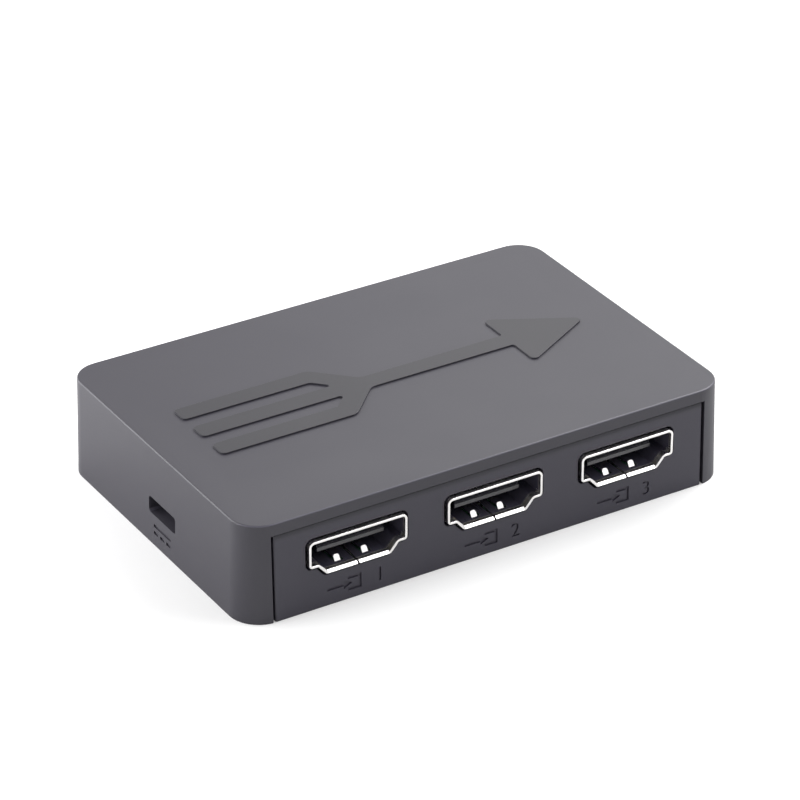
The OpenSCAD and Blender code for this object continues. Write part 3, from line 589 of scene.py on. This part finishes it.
def rounded(points, steps=5):
    """Outline with rounded corners: each point is x, y and the radius of its corner."""
    outline = []
    for i, (x, y, r) in enumerate(points):
        corner = Vector((x, y))
        before = (Vector(points[i - 1][:2]) - corner).normalized()
        after = (Vector(points[(i + 1) % len(points)][:2]) - corner).normalized()
        half = acos(before.dot(after)) / 2
        centre = corner + (before + after).normalized() * (r / sin(half))
        cut_back = r / tan(half)
        start = corner + before * cut_back - centre
        end = corner + after * cut_back - centre
        first = atan2(start.y, start.x)
        turn = (atan2(end.y, end.x) - first + 3 * pi) % (2 * pi) - pi
        for step in range(steps + 1):
            angle = first + turn * step / steps
            outline.append((centre.x + r * cos(angle), centre.y + r * sin(angle)))
    return outline


def joining_lines():
    """The roof's sign: three lines that run together into one arrow, on the middle of the roof."""
    left, bend, barb, tip = -30, -9.5, 18.5, 31
    middle, half_h, stroke = 0.85, 6.75, 3
    inner = half_h - stroke
    half = stroke / 2
    join = bend + half_h - half
    slant = stroke * 2 ** 0.5
    end_r, barb_r, bend_r, crook_r, fork_r = 0.7, 0.4, 2, 1, 0.3
    upper = [
        (tip, 0, end_r), (barb, half_h, end_r), (barb, half, barb_r), (join, half, bend_r),
        (bend, half_h, bend_r), (left, half_h, end_r), (left, inner, end_r),
        (bend + half_h - slant - inner, inner, crook_r), (join - slant, half, fork_r), (left, half, end_r),
    ]
    lower = [(x, -y, r) for x, y, r in reversed(upper[1:])]
    return [(x, middle + y) for x, y in rounded(upper + lower)]


def numeral(text, size):
    """A block in the shape of a plain number that starts at the origin, half of it under the ground."""
    curve = bpy.data.curves.new("numeral", "FONT")
    curve.body = text
    curve.size = size * MM
    curve.extrude = SIGN_DEPTH * MM
    curve.resolution_u = 6
    holder = new_piece("numeral", curve)
    mesh = evaluated(holder)
    bpy.data.objects.remove(holder)
    bpy.data.curves.remove(curve)
    with opened(mesh) as shape:
        bmesh.ops.remove_doubles(shape, verts=shape.verts, dist=MERGE / 2 * MM)
        turn_out(shape)
    return new_piece("numeral", mesh)


def socket_sign():
    """An arrow into a bracket, about the origin: x along the panel and y up, in millimetres."""
    bar, half_h = 0.42, 1.06
    tail, barb, tip, barb_h = -3.4, -0.9, 0.35, 0.62
    inside, ends = 1.3, -0.3
    arrow = [
        (tail, -bar / 2), (barb, -bar / 2), (barb, -barb_h), (tip, 0),
        (barb, barb_h), (barb, bar / 2), (tail, bar / 2),
    ]
    bracket = [
        (ends, half_h), (ends, half_h - bar), (inside, half_h - bar), (inside, bar - half_h),
        (ends, bar - half_h), (ends, -half_h), (inside + bar, -half_h), (inside + bar, half_h),
    ]
    return [arrow, bracket]


def current_sign():
    """A line over three dashes, about the origin, in millimetres."""
    half_l, bar, gap, off = 2.3, 0.45, 0.55, 0.3
    dash = (2 * half_l - 2 * gap) / 3
    line = [(-half_l, off), (half_l, off), (half_l, off + bar), (-half_l, off + bar)]
    dashes = [
        [(x, -off - bar), (x + dash, -off - bar), (x + dash, -off), (x, -off)]
        for x in (-half_l + i * (dash + gap) for i in range(3))
    ]
    return [line, *dashes]


def roof_dish():
    """A block whose underside is the roof's dish: flat under the sign, then run out to its border."""
    shape = bmesh.new()
    rings = []
    for step in range(DISH_STEPS + 2):
        t = min(step / DISH_STEPS, 1)
        half_l = DISH_FLAT_L + t * (DISH_HALF_L - DISH_FLAT_L)
        half_w = DISH_FLAT_W + t * (DISH_HALF_W - DISH_FLAT_W)
        z = CASE_H + DISH_OVER - DISH_DEPTH * (1 - t * t * (3 - 2 * t))
        if step > DISH_STEPS:
            z = CASE_H + CUT_OUT
        corners = [(-half_l, -half_w), (half_l, -half_w), (half_l, half_w), (-half_l, half_w)]
        rings.append([shape.verts.new(Vector((x, y, z)) * MM) for x, y in corners])
    for low, high in zip(rings, rings[1:]):
        for i in range(4):
            shape.faces.new((low[i], low[i - 1], high[i - 1], high[i]))
    shape.faces.new(rings[0])
    shape.faces.new(rings[-1])
    turn_out(shape)
    return piece_of("dish_cut", shape)


# Turns a sign from the ground to a leaning wall: to the front, or to the left end
TO_FRONT = Matrix.Rotation(pi / 2 - DRAFT, 4, "X")
TO_LEFT = Matrix.Rotation(-pi / 2, 4, "Z") @ TO_FRONT
# Lays a block along X, with its outline seen from that end
ALONG = Matrix(((0, 0, 1, 0), (1, 0, 0, 0), (0, 1, 0, 0), (0, 0, 0, 1)))


def set_at(piece, turn, place):
    piece.data.transform(Matrix.Translation(Vector(place) * MM) @ turn)


def make_cover():
    """The cover, with its edges softened, a sign standing on its roof and one sunk in its left wall."""
    wall_in, end_in, sign_z = 2.5, 2.1, 2.5
    cover = merged_copy("top_cover", "cover")

    def outside(p):
        return abs(p.y) > CASE_HALF_W - wall_in or p.z < NEAR or p.x < end_in - CASE_HALF_L

    def roof_sign_rim(p):
        return p.z > CASE_H - NEAR and abs(p.x) < DISH_FLAT_L and abs(p.y) < DISH_FLAT_W

    soften(cover, CASE_EDGE, outside)
    dish = roof_dish()
    carve(dish, prism("lines_cut", [joining_lines()], CASE_H - CUT_OUT, CASE_H + 2 * CUT_OUT))
    carve(cover, dish)
    soften(cover, ROOF_SIGN_EDGE, roof_sign_rim)
    sign = prism("current_cut", current_sign(), -SIGN_DEPTH, CUT_OUT)
    set_at(sign, TO_LEFT, (sign_z * tan(DRAFT) - CASE_HALF_L, POWER_Y, sign_z))
    carve(cover, sign)
    smooth(cover)
    return cover


def make_tray():
    """The tray, with thin seams over its panels, softened edges and a numbered sign under each input."""
    face_in = 0.6
    sign_x, sign_z = -1.2, 2.3
    number_x, number_z, number_size = 2.6, 1.28, 2.9
    tray = merged_copy("base_tray", "tray")

    def faces(p):
        return abs(p.y) > PANEL_FOOT_Y - face_in and p.z < PANEL_TOP - NEAR

    def sink(cutter, x, z):
        set_at(cutter, TO_FRONT, (x, z * tan(DRAFT) - PANEL_FOOT_Y, z))
        carve(tray, cutter)

    soften(tray, TRAY_EDGE, faces)
    for vertex in tray.data.vertices:
        if vertex.co.z > (PANEL_TOP - NEAR) * MM:
            vertex.co.z += SEAM_LIFT * MM
    for i in (1, 2, 3):
        middle = (i - 2) * SOCKET_PITCH
        sink(prism("socket_cut", socket_sign(), -SIGN_DEPTH, CUT_OUT), middle + sign_x, sign_z)
        sink(numeral(str(i), number_size), middle + number_x, number_z)
    smooth(tray)
    return tray


def slope_floor(shell, at_mouth):
    """Slopes the floor of a video socket down to its lip, where it leads a plug in."""
    mouth = [v.co / MM for v in shell.data.vertices if at_mouth(v.co / MM)]
    floor_z = min(p.z for p in mouth) + SHEET
    along = [p.x for p in mouth if abs(p.z - floor_z) < NEAR]
    steep, past = LEAD_RISE / LEAD_IN, 0.2
    wedge = [(-past, -LEAD_RISE - past * steep), (LEAD_IN + past / steep, past), (-past, past)]
    cutter = prism("lip_cut", [wedge], -max(along) + min(along), 0)
    to_back = mouth[0].y > 0
    turn = Matrix.Rotation(pi, 4, "Z") @ ALONG if to_back else ALONG
    set_at(cutter, turn, (min(along) if to_back else max(along), mouth[0].y, floor_z))
    carve(shell, cutter)


def make_shell(node, name, at_mouth, edge, lead_in=False):
    """A folded shell with a rounded lip at its mouth, and a video socket's sloping floor."""
    shell = merged_copy(node, name)
    if lead_in:
        slope_floor(shell, at_mouth)
    slope_top = reach(node)[1].z - SOCKET_H + SHEET if lead_in else 0
    soften(shell, edge, lambda p: at_mouth(p) and p.z > slope_top, 3)
    smooth(shell)
    return shell


def make_button():
    """The select button, turned from its profile: a dished face with a rounded rim, over a flange."""
    cap_r, flange_r, flange_t, bevel, steps = 2.3, 2.75, 0.8, 0.03, 72
    back, face = BUTTON_LOW.y, BUTTON_HIGH.y
    flange = back + flange_t
    # The face from its middle to the cap's side: radius, and depth under the button's end
    dished = [
        (0, 0.166), (0.7, 0.151), (1.3, 0.106), (1.75, 0.046), (1.98, 0.011), (2.14, 0.016), (2.25, 0.076),
        (cap_r, 0.186),
    ]
    profile = [(r, face - depth) for r, depth in dished] + [
        (cap_r, flange), (flange_r - bevel, flange), (flange_r, flange - bevel), (flange_r, back + bevel),
        (flange_r - bevel, back), (0, back),
    ]
    axis_x, axis_z = (BUTTON_LOW.x + BUTTON_HIGH.x) / 2, (BUTTON_LOW.z + BUTTON_HIGH.z) / 2
    angles = [2 * pi * i / steps for i in range(steps)]
    shape = bmesh.new()
    rings = []
    for r, y in profile:
        if r == 0:
            rings.append([shape.verts.new((axis_x * MM, y * MM, axis_z * MM))] * steps)
            continue
        places = [Vector((axis_x + r * cos(a), y, axis_z + r * sin(a))) * MM for a in angles]
        rings.append([shape.verts.new(place) for place in places])
    for low, high in zip(rings, rings[1:]):
        for i in range(steps):
            j = (i + 1) % steps
            corners = [low[i], low[j], high[j], high[i]]
            shape.faces.new(list(dict.fromkeys(corners)))
    turn_out(shape)
    button = piece_of("button_cap", shape)
    smooth(button)
    return button


def screw_tree(sizes, material):
    """Geometry nodes for the case screws: a bevelled head with a cross recess, and a threaded shank."""
    tree = bpy.data.node_groups.new("case_screws", "GeometryNodeTree")
    for name in sizes:
        tree.interface.new_socket(name, in_out="INPUT", socket_type="NodeSocketFloat")
    tree.interface.new_socket("Geometry", in_out="OUTPUT", socket_type="NodeSocketGeometry")
    bench = Wire(tree)
    given = bench.node("NodeGroupInput")
    across, deep, head_r, shank_r = (given.out(name) for name in sizes)
    root_r, point_r = shank_r * 0.78, shank_r * 0.33
    face_r, drive_l, drive_w = head_r * 0.86, head_r * 1.15, head_r * 0.3
    sides = 40
    # Heights over the ground, from the head's face up to the point, and the thread's turns
    face_z, bevel_z, seat_z, neck_z = 0.4, 0.65, 1.36, 1.4
    thread_z, taper_z, point_z = 1.6, 7.4, 8.35
    pitch, turns = 0.62, 9
    thread_end = thread_z + turns * pitch
    # The two arms of the recess differ a little in depth, so that no two faces of the cutters coincide
    drive_depths = (0.6, 0.61)

    def at(geometry, z):
        return bench.node("GeometryNodeTransform", {"Geometry": geometry, "Translation": (0, 0, z * MM)})

    def sleeve(low_r, high_r, low_z, high_z):
        """The side of a cone between two heights, open at both ends."""
        side = bench.node(
            "GeometryNodeMeshCone",
            {"Vertices": sides, "Radius Bottom": low_r, "Radius Top": high_r, "Depth": (high_z - low_z) * MM},
            fill_type="NONE",
        )
        return at(side, low_z)

    def disc(r, z):
        return at(bench.node("GeometryNodeMeshCircle", {"Vertices": sides, "Radius": r}, fill_type="NGON"), z)

    def join(*parts):
        return bench.node("GeometryNodeJoinGeometry", {"Geometry": list(parts)})

    def arm(x, y, depth):
        size = bench.node("ShaderNodeCombineXYZ", {"X": x, "Y": y, "Z": 2 * depth * MM})
        return at(bench.node("GeometryNodeMeshCube", {"Size": size}), face_z)

    ridge = join(sleeve(root_r, shank_r, 0, pitch / 2), sleeve(shank_r, root_r, pitch / 2, pitch))
    starts = bench.node(
        "GeometryNodeMeshLine",
        {"Count": turns, "Start Location": (0, 0, thread_z * MM), "Offset": (0, 0, pitch * MM)},
    )
    thread = bench.node("GeometryNodeInstanceOnPoints", {"Points": starts, "Instance": ridge})
    skin = join(
        disc(face_r, face_z), sleeve(face_r, head_r, face_z, bevel_z),
        sleeve(head_r, head_r, bevel_z, seat_z), sleeve(head_r, root_r, seat_z, neck_z),
        sleeve(root_r, root_r, neck_z, thread_z), thread,
        sleeve(root_r, root_r, thread_end, taper_z), sleeve(root_r, point_r, taper_z, point_z),
        disc(point_r, point_z),
    )
    loose = bench.node("GeometryNodeRealizeInstances", {"Geometry": skin})
    screw = bench.node("GeometryNodeMergeByDistance", {"Geometry": loose, "Distance": 2 * MERGE * MM})
    for cutter in (arm(drive_l, drive_w, drive_depths[0]), arm(drive_w, drive_l, drive_depths[1])):
        screw = bench.node(
            "GeometryNodeMeshBoolean",
            {"Mesh 1": screw, "Mesh 2": cutter},
            operation="DIFFERENCE",
            solver="EXACT",
        )
    corners = bench.node(
        "GeometryNodeMeshGrid", {"Size X": across, "Size Y": deep, "Vertices X": 2, "Vertices Y": 2}
    )
    placed = bench.node("GeometryNodeInstanceOnPoints", {"Points": corners, "Instance": screw})
    plain = bench.node("GeometryNodeRealizeInstances", {"Geometry": placed})
    painted = bench.node("GeometryNodeSetMaterial", {"Geometry": plain, "Material": material})
    bench.node("NodeGroupOutput", {0: painted})
    return tree


def make_screws(material):
    """The four case screws, from their geometry nodes."""
    head_r, shank_r = 1.9, 1.0
    sizes = {
        "Across": 2 * (SCREW_HIGH.x - head_r), "Deep": 2 * (SCREW_HIGH.y - head_r),
        "Head radius": head_r, "Shank radius": shank_r,
    }
    screws = new_piece("screws", bpy.data.meshes.new("screws"))
    maker = screws.modifiers.new("screws", "NODES")
    maker.node_group = screw_tree(sizes, material)
    for item in maker.node_group.interface.items_tree:
        if item.in_out == "INPUT":
            maker[item.identifier] = sizes[item.name] * MM
    settle(screws)
    with opened(screws.data) as shape:
        turn_out(shape)
    screws.data.shade_smooth()
    screws.data.set_sharp_from_angle(angle=SHARP)
    return screws


def make_pieces(finishes):
    """Every new piece: its body, its finish and the solid that it stands for."""

    def front_lip(p):
        return p.y < NEAR - MOUTH_Y

    def back_lip(p):
        return p.y > MOUTH_Y - NEAR

    def power_lip(p):
        return p.x < POWER_LOW.x + NEAR

    made = {
        "top_cover": make_cover(),
        "base_tray": make_tray(),
        "case_screws": make_screws(finishes["screw_steel"]),
        "select_button": make_button(),
        "output_shell": make_shell("output_shell", "output_lip_shell", back_lip, LIP_EDGE, True),
        "power_shell": make_shell("power_shell", "power_lip_shell", power_lip, POWER_LIP_EDGE),
    }
    for i in (1, 2, 3):
        node = f"input_{i}_shell"
        made[node] = make_shell(node, f"input_{i}_lip_shell", front_lip, LIP_EDGE, True)
    for node, piece in made.items():
        coat(piece, finishes[finish_of(node)])
        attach(piece, "button" if node == "select_button" else "housing")
        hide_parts(node)


def coat_solids(finishes):
    """The solids that show as they are take the finish of their slot in the record, or their own."""
    for node in SLOTS:
        coat(frame["nodes"][node], finishes[finish_of(node)])


def seen_rays(bench):
    """1 on the rays by which the camera, metal and clear plastic see the background, and 0 on others."""
    path = bench.node("ShaderNodeLightPath")
    camera, glossy, through = (path.out(f"Is {kind} Ray") for kind in ("Camera", "Glossy", "Transmission"))
    return bench.maths("MAXIMUM", bench.maths("MAXIMUM", camera, glossy), through)


def make_world():
    """White round the object, at full strength where it is seen and at the ambient level as light."""
    world = bpy.data.worlds.new("studio")
    bench = bare_bench(world)
    strength = AMBIENT + seen_rays(bench) * (1 - AMBIENT)
    sky = bench.node("ShaderNodeBackground", {"Color": rgb(1), "Strength": strength})
    bench.node("ShaderNodeOutputWorld", {"Surface": sky})
    bpy.context.scene.world = world


def make_floor():
    """A pale floor that takes the object's shadow, lifted to white where the camera sees it, most far off."""
    half, below = 3000, 0.02
    close_by, far_off = 120, 450
    corners = [(-half, -half), (half, -half), (half, half), (-half, half)]
    mesh = bpy.data.meshes.new("floor")
    mesh.from_pydata([(x * MM, y * MM, -below * MM) for x, y in corners], [], [(0, 1, 2, 3)])
    floor = new_piece("floor", mesh)
    material = bpy.data.materials.new("floor_paper")
    bench = bare_bench(material)
    place = bench.node("ShaderNodeTexCoord", output="Object")
    paper = place.noise(3, 3).mix(rgb(0.8), rgb(0.82))
    matt = bench.node("ShaderNodeBsdfDiffuse", {"Color": paper})
    camera_ray = bench.node("ShaderNodeLightPath", output="Is Camera Ray")
    x, y, _ = place.axes()
    far = (x ** 2 + y ** 2).between(close_by ** 2, far_off ** 2)
    lift = camera_ray * (FLOOR_GLOW + FAR_GLOW * far)
    glow = bench.node("ShaderNodeEmission", {"Color": rgb(1), "Strength": lift})
    both = bench.node("ShaderNodeAddShader", {0: matt, 1: glow})
    bench.node("ShaderNodeOutputMaterial", {"Surface": both})
    coat(floor, material)


def make_lamp(name, place, target, size, power):
    """A soft square lamp at that place, turned to the target."""
    light = bpy.data.lights.new(name, "AREA")
    light.shape = "SQUARE"
    light.size = size * MM
    light.energy = power
    lamp = new_piece(name, light)
    lamp.location = Vector(place) * MM
    aim = (Vector(target) - Vector(place)).normalized()
    lamp.rotation_euler = aim.to_track_quat("-Z", "Y").to_euler()
    lamp.visible_camera = False


def make_camera():
    """The camera, on a sphere round the frame's origin and then moved across its view."""
    a, e = VIEW_AZIMUTH, VIEW_ELEVATION
    back = Vector((sin(a) * cos(e), -cos(a) * cos(e), sin(e)))
    right = Vector((cos(a), sin(a), 0))
    up = back.cross(right)
    data = bpy.data.cameras.new("camera")
    data.lens = LENS
    data.sensor_width = SENSOR
    data.clip_start = CLIP_NEAR * MM
    data.clip_end = CLIP_FAR * MM
    camera = new_piece("camera", data)
    place = back * VIEW_DISTANCE + right * VIEW_RIGHT + up * VIEW_UP
    camera.matrix_world = Matrix.Translation(place * MM) @ Matrix((right, up, back)).transposed().to_4x4()
    bpy.context.scene.camera = camera


bpy.context.scene.view_settings.view_transform = "Standard"
make_camera()
make_world()
make_floor()
for name, lamp in LAMPS.items():
    make_lamp(name, *lamp)
finishes = make_finishes()
coat_solids(finishes)
make_pieces(finishes)
